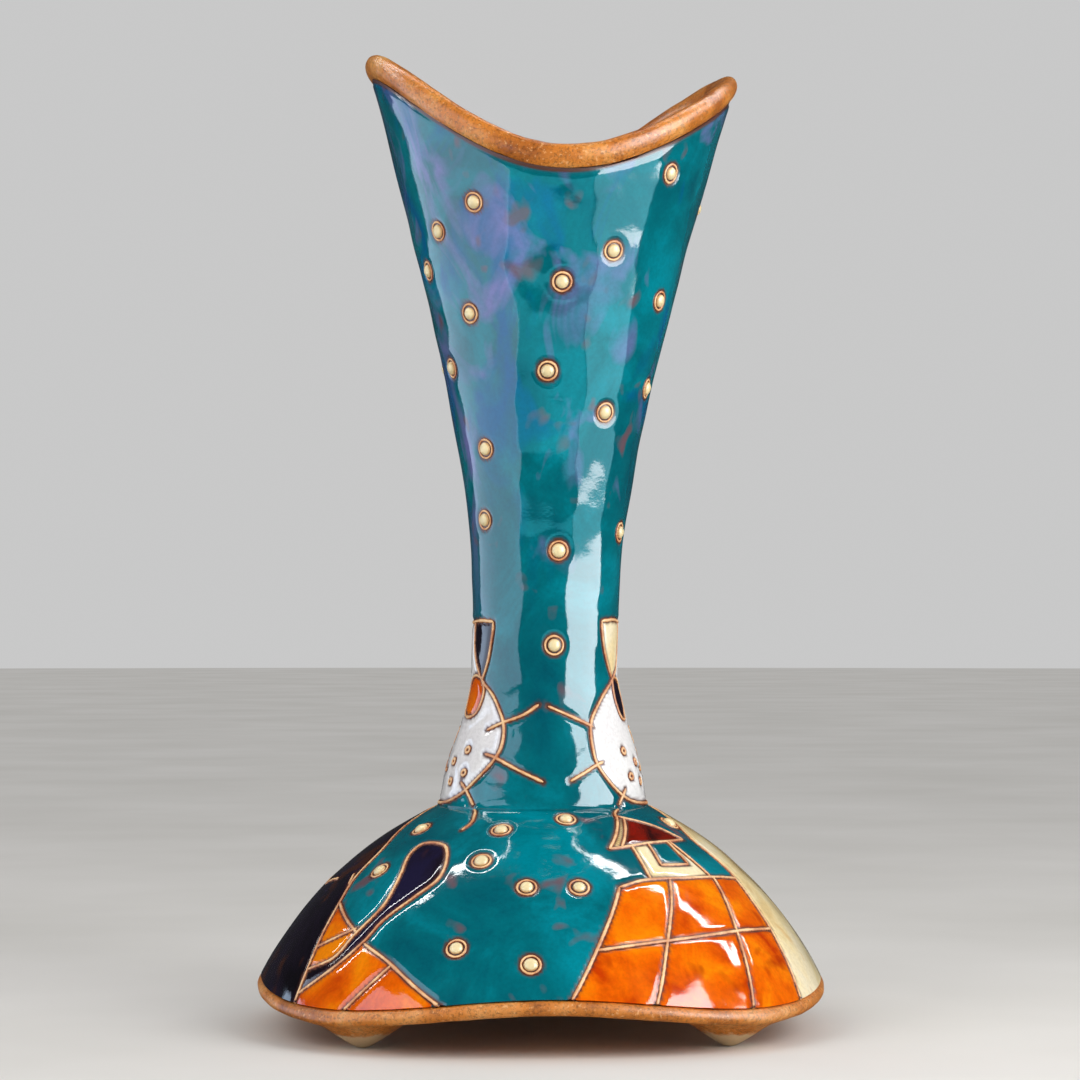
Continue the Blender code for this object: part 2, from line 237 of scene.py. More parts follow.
# Each glaze's deep tone, pale tone and flecks, then the flecks' share and how fine the mottling is
GLAZE_TONES = {
    "teal": ((0, 82, 98), (0, 132, 148), (112, 76, 84), 0.6, 40),
    "orange": ((196, 60, 0), (250, 140, 4), (160, 36, 0), 0.6, 70),
    "navy": ((12, 8, 16), (30, 26, 56), (70, 36, 20), 1.0, 45),
    "cream": ((238, 204, 140), (255, 244, 214), (226, 176, 108), 0.5, 45),
    "white": ((232, 230, 236), (252, 252, 252), (236, 226, 222), 0.1, 45),
    "roof": ((50, 12, 10), (150, 22, 8), (50, 16, 12), 0.6, 90),
}
GLAZES = tuple(GLAZE_TONES)
TEAL_DRIFTS = (((0, 88, 146), 11.0), ((116, 112, 176), 17.0))  # tone, and where in the noise its patches are
GLAZE_ROUGHNESS = 0.06


def paint(red, green, blue):
    """A display colour, 0 to 255 a channel, as the linear colour that shaders take."""
    shares = (channel / 255 for channel in (red, green, blue))
    return tuple(s / 12.92 if s < 0.04045 else ((s + 0.055) / 1.055) ** 2.4 for s in shares)


def colour_property(name, description, colour):
    return bpy.props.FloatVectorProperty(
        name=name, description=description, subtype="COLOR", size=3, min=0, max=1, default=colour
    )


def length_property(name, description, millimetres):
    return bpy.props.FloatProperty(
        name=name, description=description, default=millimetres * MM, unit="LENGTH"
    )


class VaseSettings(bpy.types.PropertyGroup):
    """Sizes and colours of the vase."""

    line_width: length_property("Line width", "Width of an incised line of bare clay", 1.25)
    line_height: length_property("Line height", "How far a line stands above its groove", 0.42)
    groove_depth: length_property("Groove depth", "How far the wall sinks along a line", 0.32)
    hand_marks: length_property("Hand marks", "How far hands left the walls uneven", 0.42)
    bead_radius: length_property("Bead radius", "Radius of a slip bead", 1.7)
    ring_radius: length_property("Ring radius", "Radius of the ring round a bead", 2.35)
    teal: colour_property("Teal", "Glaze over most of the vase", paint(0, 104, 116))
    orange: colour_property("Orange", "Glaze of the tiles", paint(236, 104, 1))
    navy: colour_property("Navy", "Glaze of the dark animal", paint(26, 19, 34))
    cream: colour_property("Cream", "Glaze of the pale animal and of the beads", paint(252, 232, 180))
    white: colour_property("White", "Glaze of the cheeks", paint(245, 244, 246))
    roof: colour_property("Roof", "Glaze of the roof", paint(120, 22, 8))
    clay: colour_property("Clay", "Iron-washed clay of the rim and base", paint(212, 128, 44))
    pale_clay: colour_property("Pale clay", "Bare clay on the feet and along the lines", paint(248, 210, 158))


def settings():
    return bpy.context.scene.vase


# ---------------------------------------------------------------- the pot's shape, on arrays of points


def polar(azimuth, radius, height):
    """Points in rows, from an array of azimuths. radius and height may be one number for all."""
    return np.stack([radius * np.sin(azimuth), -radius * np.cos(azimuth), height + 0 * azimuth], axis=-1)


def from_polar(points):
    return np.arctan2(points[:, 0], -points[:, 1]), np.hypot(points[:, 0], points[:, 1]), points[:, 2]


def dome_centre():
    edge, joint = np.array((EDGE_RADIUS, EDGE_HEIGHT)), np.array((JOINT_RADIUS, JOINT_HEIGHT))
    chord = joint - edge
    length = np.hypot(*chord)
    inward = np.array((-chord[1], chord[0])) / length
    return (edge + joint) / 2 + inward * math.sqrt(DOME_ARC_RADIUS**2 - (length / 2) ** 2)


DOME_CENTRE = dome_centre()
EDGE_ANGLE = math.atan2(EDGE_HEIGHT - DOME_CENTRE[1], EDGE_RADIUS - DOME_CENTRE[0])
JOINT_ANGLE = math.atan2(JOINT_HEIGHT - DOME_CENTRE[1], JOINT_RADIUS - DOME_CENTRE[0])


def dome_section(share, depth=0.0):
    """Radius and height on the dome, share of the way up its arc and depth below its outer face."""
    angle = EDGE_ANGLE + share * (JOINT_ANGLE - EDGE_ANGLE)
    reach = DOME_ARC_RADIUS - depth
    return DOME_CENTRE[0] + reach * np.cos(angle), DOME_CENTRE[1] + reach * np.sin(angle)


def squared_plan(azimuth):
    turn = azimuth - BODY_TURN
    power = np.abs(np.cos(turn)) ** SQUARENESS + np.abs(np.sin(turn)) ** SQUARENESS
    return power ** (-1 / SQUARENESS)


def edge_wave(azimuth):
    turn = azimuth - BODY_TURN
    return CORNER_DIP * np.cos(4 * turn) + FRONT_LIFT * np.cos(2 * turn)


def lean(points):
    points[..., 0] += LEAN * np.maximum(points[..., 2] - EDGE_HEIGHT, 0)
    return points


def upright(points):
    """The points with the pot's lean taken out."""
    return points - LEAN * np.maximum(points[:, 2:] - EDGE_HEIGHT, 0) * (1, 0, 0)


def shape_body(points):
    """Squares turned points in plan and swings the lower edge down to the feet."""
    azimuth, radius, height = from_polar(points)
    climb = np.clip((height - EDGE_HEIGHT) / (JOINT_HEIGHT - EDGE_HEIGHT), 0, 1)
    plan = 1 + (squared_plan(azimuth) - 1) * (1 - climb**2)
    wave = edge_wave(azimuth) * (radius / EDGE_RADIUS) ** 2 * (1 - climb) ** 2
    return lean(polar(azimuth, radius * plan, height + wave))


def slab_rise(radius):
    """How far the slab stands above its edge's height, as it domes up to the middle."""
    return (SLAB_CENTRE_HEIGHT - EDGE_HEIGHT) * (1 - (radius / EDGE_RADIUS) ** 2)


def neck_radius(height):
    flare = FLARE_SLOPE * np.maximum(height - WAIST_HEIGHT, 0)
    share = np.clip((height - JOINT_HEIGHT) / (SKIRT_TOP - JOINT_HEIGHT), 0, 1)
    skirt = (JOINT_RADIUS - WAIST_RADIUS) * (1 - share**2 * (3 - 2 * share))
    return np.hypot(WAIST_RADIUS, flare) + skirt


def mouth_height(azimuth):
    saddle = SADDLE_RISE * np.cos(2 * (azimuth - SADDLE_TURN))
    tilt = MOUTH_TILT * np.cos(azimuth - TILT_TURN)
    skew = MOUTH_SKEW * np.cos(3 * (azimuth - SKEW_TURN))
    return MOUTH_HEIGHT - saddle - tilt + skew


def moved_up_the_neck(points, height):
    """Points raised to a height as far from the neck's outer face as before, and leant with the pot."""
    azimuth, radius, old = from_polar(points)
    return lean(polar(azimuth, radius + neck_radius(height) - neck_radius(old), height))


def shape_neck(points):
    """Stretches the turned neck up to the saddle of the mouth."""
    azimuth, _, height = from_polar(points)
    share = (height - JOINT_HEIGHT) / (MOUTH_HEIGHT - JOINT_HEIGHT)
    return moved_up_the_neck(points, JOINT_HEIGHT + share * (mouth_height(azimuth) - JOINT_HEIGHT))


def shape_rim(points):
    """Lays the turned rim along the mouth, and keeps its thickness where the mouth is steep."""
    azimuth, _, height = from_polar(points)
    step = 0.01
    rise = mouth_height(azimuth + step) - mouth_height(azimuth - step)
    thickness = np.hypot(1, rise / (2 * step * neck_radius(mouth_height(azimuth))))
    return moved_up_the_neck(points, mouth_height(azimuth) + (height - MOUTH_HEIGHT) * thickness)


def neck_surface(places):
    """Points of the neck's outer face at (azimuth in degrees, height)."""
    azimuth, height = np.radians(places[:, 0]), places[:, 1]
    return lean(polar(azimuth, neck_radius(height), height))


def shoulder_surface(places):
    """Points of the shoulder's outer face at (azimuth in degrees, share of the way up)."""
    radius, height = dome_section(places[:, 1])
    return shape_body(polar(np.radians(places[:, 0]), radius, height))


# ---------------------------------------------------------------- mesh work


def select_only(piece):
    bpy.ops.object.select_all(action="DESELECT")
    piece.select_set(True)
    bpy.context.view_layer.objects.active = piece


def add_piece(name, points, edges, faces):
    """An object from points in millimetres."""
    mesh = bpy.data.meshes.new(name)
    mesh.from_pydata([Vector(p) * MM for p in points], edges, faces)
    piece = bpy.data.objects.new(name, mesh)
    bpy.context.scene.collection.objects.link(piece)
    select_only(piece)
    return piece


def turned(name, section, steps, closed=True):
    """A section of (radius, height) points, spun once round the upright axis."""
    edges = [(i, i + 1) for i in range(len(section) - 1)]
    if closed:
        edges.append((len(section) - 1, 0))
    piece = add_piece(name, [(radius, 0, height) for radius, height in section], edges, [])
    bpy.ops.object.mode_set(mode="EDIT")
    bpy.ops.mesh.select_all(action="SELECT")
    bpy.ops.mesh.spin(steps=steps, angle=math.tau, center=(0, 0, 0), axis=(0, 0, 1))
    bpy.ops.mesh.select_all(action="SELECT")
    bpy.ops.mesh.remove_doubles(threshold=1e-6)
    bpy.ops.mesh.normals_make_consistent(inside=False)
    bpy.ops.object.mode_set(mode="OBJECT")
    return piece


def points_of(piece):
    flat = np.empty(len(piece.data.vertices) * 3)
    piece.data.vertices.foreach_get("co", flat)
    return flat.reshape(-1, 3) / MM


def normals_of(piece):
    flat = np.empty(len(piece.data.vertices) * 3)
    piece.data.vertex_normals.foreach_get("vector", flat)
    return flat.reshape(-1, 3)


def set_points(piece, points):
    piece.data.vertices.foreach_set("co", (points * MM).ravel())
    piece.data.update()


def reshape(piece, shape):
    set_points(piece, shape(points_of(piece)))


def set_attribute(piece, name, values):
    made = piece.data.attributes.new(name, "FLOAT", "POINT")
    made.data.foreach_set("value", np.asarray(values, dtype=float))


def unevenness(points, size, stretch=1.0):
    """Noise from -1 to 1 in swells of a size, stretched upwards. Shifted points give other noise."""
    scaled = points / (size, size, size * stretch)
    return np.array([noise.noise(p) for p in scaled.tolist()])


def push_out(piece, depth):
    """Moves each point of a piece outwards, along its normal."""
    set_points(piece, points_of(piece) + normals_of(piece) * depth[:, None])


def leave_hand_marks(piece, share):
    """Pushes a wall in and out a little, as hands leave it.

    share tells what part of the full marks each point gets."""
    points = points_of(piece)
    swell = unevenness(points, *BROAD_SWELL) + SMALL_SWELL_SHARE * unevenness(points + 50, *SMALL_SWELL)
    push_out(piece, settings().hand_marks / MM * swell * share(points))


def finish_piece(piece, replaced, materials):
    """Gives a piece its materials and smooth shading, sets it on the root body and hides the CAD parts it
    replaces.
    """
    for material in materials:
        piece.data.materials.append(material)
    select_only(piece)
    bpy.ops.object.shade_smooth_by_angle(angle=SMOOTH_ANGLE)
    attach(piece, "root")
    if replaced:
        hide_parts(*replaced)


# ---------------------------------------------------------------- incised lines


def mirrored(lines):
    """The lines, and the same seen in a mirror standing between front and back."""
    return lines + [[(180 - azimuth, along) for azimuth, along in line] for line in lines]


def turned_back(lines):
    """The lines, and the same again at the back."""
    return lines + [[(azimuth + BACK_TURN, along) for azimuth, along in line] for line in lines]


def smooth_path(places, steps=24):
    """A smooth curve through given points, as an array. Equal ends make it a loop."""
    places = [np.array(p, dtype=float) for p in places]
    if len(places) > 3 and np.allclose(places[0], places[-1]):
        before, after = places[-2], places[1]
    else:
        before, after = 2 * places[0] - places[1], 2 * places[-1] - places[-2]
    knots = [before, *places, after]
    path = []
    for a, b, c, d in zip(knots, knots[1:], knots[2:], knots[3:]):
        bend = 2 * a - 5 * b + 4 * c - d
        twist = 3 * b - a - 3 * c + d
        for t in np.arange(steps) / steps:
            path.append(0.5 * (2 * b + (c - a) * t + bend * t**2 + twist * t**3))
    return np.array([*path, places[-1]])


def evenly_spaced(points, spacing):
    """The same path with its points an even distance apart."""
    lengths = np.hypot.reduce(np.diff(points, axis=0), axis=1)
    travelled = np.concatenate(([0], np.cumsum(lengths)))
    count = max(int(travelled[-1] / spacing), 3)
    wanted = np.linspace(0, travelled[-1], count + 1)
    return np.stack([np.interp(wanted, travelled, points[:, k]) for k in range(3)], axis=1)


def line_points(lines, surface):
    return [evenly_spaced(surface(smooth_path(line)), LINE_SPACING) for line in lines]


def ring_points(centre, normal, radius):
    """A ring on a surface, round a bead."""
    side = normal.orthogonal().normalized()
    turns = np.arange(RING_STEPS + 1) * math.tau / RING_STEPS
    around = [(side * math.cos(t) + normal.cross(side) * math.sin(t)) * radius + centre for t in turns]
    return np.array([tuple(p) for p in around])


def snapped(lines, tree):
    """The lines, moved onto the wall that tree holds."""
    return [np.array([tuple(tree.find_nearest(p)[0]) for p in line.tolist()]) for line in lines]


def distance_to(lines, points):
    """How far each point is from the nearest line."""
    stops = [p for line in lines for p in line.tolist()]
    tree = KDTree(len(stops))
    for index, stop in enumerate(stops):
        tree.insert(stop, index)
    tree.balance()
    return np.array([tree.find(p)[2] for p in points.tolist()])


def smoothstep(low, high, values):
    share = np.clip((values - low) / (high - low), 0, 1)
    return share * share * (3 - 2 * share)


def incise(piece, lines):
    """Sinks a wall along the lines, swells the glaze beside them and marks bare clay and painted groove
    shade.

    Returns how far each point is from the lines."""
    distance = distance_to(lines, points_of(piece))
    depth = settings().groove_depth / MM
    sink = depth * (1 - smoothstep(*GROOVE_SIDE, distance))
    swell = SWELL_SHARE * depth * smoothstep(*SWELL_RISE, distance) * (1 - smoothstep(*SWELL_FALL, distance))
    push_out(piece, swell - sink)
    set_attribute(piece, "bare", 1 - smoothstep(*BARE_AND_GROOVE_SHADE_TO_GLAZED, distance))
    return distance


def wall_tree(piece):
    points = points_of(piece).tolist()
    return BVHTree.FromPolygons(points, [tuple(p.vertices) for p in piece.data.polygons])


class Ridges:
    """Low ridges of clay laid along lines, gathered into one mesh."""

    # The cross-section of a ridge, as shares of its half-width and of its height
    ACROSS = (-1, -0.78, -0.45, 0, 0.45, 0.78, 1)
    LIFT = (-0.6, 0.25, 0.85, 1, 0.85, 0.25, -0.6)

    def __init__(self):
        self.points, self.faces, self.across = [], [], []

    def lay(self, line, tree, width, height):
        """Adds one ridge along a line, on the wall that tree holds. Its ends taper, unless it is a loop."""
        loop = np.allclose(line[0], line[-1])
        path = line[:-1] if loop else line
        found = [tree.find_nearest(p) for p in path.tolist()]
        count = len(path)
        first = len(self.points)
        for i, (place, normal, _, _) in enumerate(found):
            ahead, behind = ((i + 1) % count, i - 1) if loop else (min(i + 1, count - 1), max(i - 1, 0))
            forward = (found[ahead][0] - found[behind][0]).normalized()
            side = forward.cross(normal).normalized()
            taper = 1 if loop else min(1, 0.35 + 0.5 * min(i, count - 1 - i))
            spot = Vector(path[i])
            wobble = 1 + 0.22 * noise.noise(spot / 2.3) + 0.12 * noise.noise(spot / 0.8)
            half_width = width / 2 * taper * wobble
            crown = height * (0.4 + 0.6 * taper)
            for across, lift in zip(self.ACROSS, self.LIFT):
                offset = side * (across * half_width) + normal * (lift * crown)
                self.points.append(place + offset)
                self.across.append(across)
        rows = len(self.ACROSS)
        for i in range(count if loop else count - 1):
            a = first + i * rows
            b = first + (i + 1) % count * rows
            self.faces += [(a + k, b + k, b + k + 1, a + k + 1) for k in range(rows - 1)]

    def make(self, name, material):
        piece = add_piece(name, self.points, [], self.faces)
        set_attribute(piece, "across", self.across)
        finish_piece(piece, [], [material])


def flood(start, number, blocked):
    """Gives a material's number to a face and to all it joins, up to the blocked faces. Returns how many."""
    waiting = [start]
    count = 0
    while waiting:
        face = waiting.pop()
        if face.material_index == number:
            continue
        face.material_index = number
        count += 1
        for edge in face.edges:
            waiting += [f for f in edge.link_faces if not blocked[f.index] and f.material_index != number]
    return count


def run_under_lines(mesh, blocked, rounds=3):
    """Lets each glaze run a few faces in under the lines round its field."""
    known = [not is_blocked for is_blocked in blocked]
    for _ in range(rounds):
        grown = []
        for face in mesh.faces:
            if known[face.index]:
                continue
            around = [f for edge in face.edges for f in edge.link_faces if known[f.index]]
            if around:
                grown.append((face, around[0].material_index))
        for face, number in grown:
            face.material_index = number
            known[face.index] = True


def pour(piece, fills, surface, distance, outside):
    """Fills the fields between the lines with their glazes, by painting outwards from one point in each."""
    mesh = bmesh.new()
    mesh.from_mesh(piece.data)
    mesh.faces.ensure_lookup_table()
    blocked = [
        sum(distance[v.index] for v in face.verts) / len(face.verts) < LINE_REACH
        or not all(outside[v.index] for v in face.verts)
        for face in mesh.faces
    ]
    tree = KDTree(len(mesh.faces))
    for face in mesh.faces:
        tree.insert(face.calc_center_median(), face.index)
    tree.balance()
    for glaze_name, azimuth, along in fills:
        field = f"the {glaze_name} field at {azimuth}, {along}"
        start = tree.find(Vector(surface(np.array([[azimuth, along]]))[0]) * MM)[1]
        if blocked[start]:
            raise RuntimeError(f"{field} starts on a line")
        if flood(mesh.faces[start], GLAZES.index(glaze_name), blocked) > LARGEST_FIELD * len(mesh.faces):
            raise RuntimeError(f"{field} runs out of its lines")
    run_under_lines(mesh, blocked)
    mesh.to_mesh(piece.data)
    mesh.free()


# ---------------------------------------------------------------- materials


def add_node(tree, kind, values=None, **choices):
    """A shader node. values go to its inputs, where a socket makes a link, and choices are its settings."""
    made = tree.nodes.new(kind)
    for name, value in choices.items():
        setattr(made, name, value)
    for name, value in (values or {}).items():
        if isinstance(value, bpy.types.NodeSocket):
            tree.links.new(value, made.inputs[name])
        else:
            made.inputs[name].default_value = value
    return made


def new_material(name, **values):
    """A material and its node tree, with a Principled shader whose plain inputs are set."""
    material = bpy.data.materials.new(name)
    material.use_nodes = True
    shader = material.node_tree.nodes["Principled BSDF"]
    for key, value in values.items():
        shader.inputs[key.replace("_", " ")].default_value = value
    return material, material.node_tree, shader


def clouds(tree, scale, detail=3.0, roughness=0.55, distortion=0.0, stretch=1.0, offset=0.0):
    """Noise on the object's own coordinates. scale is swells per metre; stretch draws them out upwards."""
    coordinates = add_node(tree, "ShaderNodeTexCoord").outputs["Object"]
    place = {"Vector": coordinates, "Scale": (1, 1, 1 / stretch), "Location": (offset, offset, offset)}
    values = {
        "Vector": add_node(tree, "ShaderNodeMapping", place).outputs[0],
        "Scale": scale,
        "Detail": detail,
        "Roughness": roughness,
        "Distortion": distortion,
    }
    return add_node(tree, "ShaderNodeTexNoise", values).outputs["Fac"]


def ramp(tree, factor, stops):
    """A colour ramp through (position, colour) stops. A number stands for a grey."""
    made = add_node(tree, "ShaderNodeValToRGB", {"Fac": factor})
    elements = made.color_ramp.elements
    while len(elements) < len(stops):
        elements.new(0.5)
    for element, (position, colour) in zip(elements, stops):
        element.position = position
        element.color = (*colour, 1) if isinstance(colour, tuple) else (colour, colour, colour, 1)
    return made.outputs["Color"]


def blend(tree, factor, under, over, mode="MIX"):
    made = add_node(tree, "ShaderNodeMix", data_type="RGBA", blend_type=mode)
    for socket, value in ((made.inputs["Factor"], factor), (made.inputs[6], under), (made.inputs[7], over)):
        if isinstance(value, bpy.types.NodeSocket):
            tree.links.new(value, socket)
        else:
            socket.default_value = (*value, 1) if isinstance(value, tuple) else value
    return made.outputs[2]


def remap(tree, value, low, high, to_low=0.0, to_high=1.0):
    """A number moved from one range onto another, and held at the ends of it."""
    values = {"Value": value, "From Min": low, "From Max": high, "To Min": to_low, "To Max": to_high}
    return add_node(tree, "ShaderNodeMapRange", values).outputs[0]


def arithmetic(tree, operation, *numbers):
    return add_node(tree, "ShaderNodeMath", dict(enumerate(numbers)), operation=operation).outputs[0]


def attribute(tree, name):
    return add_node(tree, "ShaderNodeAttribute", attribute_name=name).outputs["Fac"]


def bumps(tree, layers):
    """Bumps from (height, strength) layers, each a millimetre deep at most."""
    normal = None
    for height, strength in layers:
        values = {"Height": height, "Strength": strength, "Distance": MM}
        if normal is not None:
            values["Normal"] = normal
        normal = add_node(tree, "ShaderNodeBump", values).outputs["Normal"]
    return normal


def shade(colour, amount):
    """A colour made darker, below 1, or lighter."""
    return tuple(min(1.0, channel * amount) for channel in colour)


def with_drifts(tree, colour, drifts):
    """Patches of other hues, (tone, place in the noise), high on the neck and most of all on its left."""
    coordinates = add_node(tree, "ShaderNodeTexCoord").outputs["Object"]
    axes = add_node(tree, "ShaderNodeSeparateXYZ", {"Vector": coordinates}).outputs
    high = remap(tree, axes["Z"], 0.1, 0.15)
    leftward = remap(tree, axes["X"], 0.012, -0.02, 0.0, 0.1)
    for tone, seed in drifts:
        swirl = arithmetic(tree, "ADD", clouds(tree, 54, 3, 0.55, 1.0, 1.7, seed), leftward)
        patch = arithmetic(tree, "MULTIPLY", ramp(tree, swirl, [(0.585, 0.0), (0.73, 0.85)]), high)
        colour = blend(tree, patch, colour, paint(*tone))
    return colour


def glaze(name, deep, pale, fleck, fleck_share, mottle):
    """Thick glossy glaze, pooled and mottled, with soft flecks, thinned to brown clay and painted groove
    shade along the lines.
    """
    material, tree, shader = new_material(f"fired_{name}_glaze", Roughness=GLAZE_ROUGHNESS, IOR=1.52)
    body = tuple(getattr(settings(), name))
    pools = clouds(tree, mottle, 5, 0.6, 0.6, 1.3)
    colour = ramp(tree, pools, [(0.33, paint(*deep)), (0.5, body), (0.66, paint(*pale))])
    if name == "teal":
        colour = with_drifts(tree, colour, TEAL_DRIFTS)
    grain = ramp(tree, clouds(tree, 1100, 2), [(0.35, 0.9), (0.6, 1.0)])
    colour = blend(tree, 1.0, colour, grain, "MULTIPLY")
    low = 0.72 - 0.14 * fleck_share
    flecks = ramp(tree, clouds(tree, 105, 2, 0.5, 0.3, 1.2, 3.0), [(low, 0.0), (low + 0.1, 0.8)])
    colour = blend(tree, flecks, colour, paint(*fleck))
    bare = attribute(tree, "bare")
    # a dark brown edge beside each line: thin glaze over iron-bearing clay, and painted shade of the groove
    thin = ramp(tree, bare, [(0.0, 0.0), (0.4, 0.3), (0.8, 0.95)])
    colour = blend(tree, thin, colour, paint(88, 40, 16))
    tree.links.new(colour, shader.inputs["Base Color"])
    tree.links.new(remap(tree, bare, 0, 1, GLAZE_ROUGHNESS, 0.4), shader.inputs["Roughness"])
    normal = bumps(tree, [(clouds(tree, 105, 1, 0.3, 0.3, 1.2), 0.34), (clouds(tree, 1400, 2), 0.012)])
    tree.links.new(normal, shader.inputs["Normal"])
    return material


def shared_glazes():
    """The glazes in the order of GLAZES, made once and used on both walls."""
    found = [bpy.data.materials.get(f"fired_{name}_glaze") for name in GLAZES]
    return found if all(found) else [glaze(name, *tones) for name, tones in GLAZE_TONES.items()]


def washed_clay(name, dark, body, light, roughness=0.42):
    """Coarse clay with an iron wash, rubbed pale where it wears."""
    material, tree, shader = new_material(name, Roughness=roughness, IOR=1.45)
    colour = ramp(tree, clouds(tree, 60, 5, 0.65, 0.3), [(0.3, dark), (0.5, body), (0.72, light)])
    speckle = ramp(tree, clouds(tree, 1300, 3, 0.7), [(0.36, 0.42), (0.5, 0.95), (0.66, 1.0)])
    colour = blend(tree, 0.85, colour, speckle, "MULTIPLY")
    glints = ramp(tree, clouds(tree, 1100, 2, 0.5, 0, 1, 7.0), [(0.6, 0.0), (0.72, 0.55)])
    colour = blend(tree, glints, colour, paint(240, 190, 130))
    tree.links.new(colour, shader.inputs["Base Color"])
    normal = bumps(tree, [(clouds(tree, 260, 4, 0.6), 0.25), (clouds(tree, 2400, 3, 0.7), 0.12)])
    tree.links.new(normal, shader.inputs["Normal"])
    return material, tree, shader, colour


def rim_clay():
    return washed_clay("rim_clay", paint(160, 84, 24), tuple(settings().clay), paint(242, 180, 100), 0.3)[0]


def base_clay():
    """Washed clay, worn to bare buff on the feet."""
    body = tuple(settings().clay)
    material, tree, shader, colour = washed_clay("base_clay", paint(150, 80, 28), body, paint(232, 168, 98))
    ragged = arithmetic(tree, "ADD", clouds(tree, 240, 5, 0.7), attribute(tree, "worn"))
    bare = ramp(tree, ragged, [(0.75, 0.0), (0.95, 0.85)])
    tree.links.new(blend(tree, bare, colour, paint(226, 200, 158)), shader.inputs["Base Color"])
    return material


def line_clay():
    """Bare clay along a line: pale on the crown, brown with iron, darkest at the edges with painted groove
    shade. Made once, for both walls.
    """
    found = bpy.data.materials.get("line_clay")
    if found:
        return found
    material, tree, shader = new_material("line_clay", Roughness=0.5, IOR=1.45)
    side = arithmetic(tree, "ABSOLUTE", attribute(tree, "across"))
    ragged = remap(tree, clouds(tree, 1300, 3, 0.7), 0, 1, -0.3, 0.3)
    # from the crown out to the edges; the last, darkest stop is iron stain with painted shade of the groove
    stops = [
        (0.0, tuple(settings().pale_clay)),
        (0.42, paint(236, 186, 128)),
        (0.66, paint(170, 92, 42)),
        (0.86, paint(60, 26, 12)),
    ]
    colour = ramp(tree, arithmetic(tree, "ADD", side, ragged), stops)
    stain = ramp(tree, clouds(tree, 180, 3), [(0.38, paint(206, 150, 118)), (0.58, 1.0)])
    tree.links.new(blend(tree, 0.8, colour, stain, "MULTIPLY"), shader.inputs["Base Color"])
    tree.links.new(bumps(tree, [(clouds(tree, 2200, 2), 0.1)]), shader.inputs["Normal"])
    return material


def bead_glaze():
    material, tree, shader = new_material("bead_glaze", Roughness=0.32, IOR=1.5)
    cream = tuple(settings().cream)
    colour = ramp(tree, clouds(tree, 300, 3), [(0.3, shade(cream, 0.78)), (0.6, shade(cream, 0.95))])
    rim = ramp(tree, attribute(tree, "edge"), [(0.8, 0.0), (1.0, 0.8)])
    tree.links.new(blend(tree, rim, colour, paint(206, 150, 84)), shader.inputs["Base Color"])
    return material


def inside_wash():
    """The inside of the neck: rough brown clay with drifts of thin grey-blue glaze."""
    material, tree, shader = new_material("inside_wash", Roughness=0.6, IOR=1.45)
    brown = ramp(tree, clouds(tree, 130, 5, 0.7), [(0.3, paint(120, 74, 40)), (0.7, paint(196, 136, 84))])
    drift = ramp(tree, clouds(tree, 40, 4, 0.6, 0.4, 1, 5.0), [(0.5, 0.0), (0.62, 0.8)])
    tree.links.new(blend(tree, drift, brown, paint(168, 182, 190)), shader.inputs["Base Color"])
    normal = bumps(tree, [(clouds(tree, 500, 4, 0.7), 0.4)])
    tree.links.new(normal, shader.inputs["Normal"])
    return material


# ---------------------------------------------------------------- the pieces


def bead_places(prefix, tree):
    """Where each bead of one wall stands: its CAD node's name, and its place and normal on the wall."""
    places = []
    for name in sorted(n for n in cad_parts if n.startswith(prefix)):
        low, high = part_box(name)
        place, normal, _, _ = tree.find_nearest((low + high) / 2 / MM)
        places.append((name, place, normal))
    return places


def make_wall(piece, prefix, lines, grooves, fills, surface, outside):
    """Cuts one wall's lines, rings and grooves, pours its glazes, and lays clay along all but the grooves.

    prefix is the wall's name, surface turns a fill's place into a point, and outside marks the outer face."""
    s = settings()
    smooth_wall = wall_tree(piece)
    lines = snapped(lines, smooth_wall)
    places = bead_places(f"{prefix}_bead", smooth_wall)
    rings = [ring_points(place, normal, s.ring_radius / MM) for _, place, normal in places]
    distance = incise(piece, lines + rings + grooves)
    pour(piece, fills, surface, distance, outside)
    tree = wall_tree(piece)
    ridges = Ridges()
    width, height = s.line_width / MM, s.line_height / MM
    for line in lines:
        ridges.lay(line, tree, width, height)
    for ring in rings:
        ridges.lay(ring, tree, RING_LINE_SHARE * width, RING_LINE_SHARE * height)
    ridges.make(f"{prefix}_lines", line_clay())


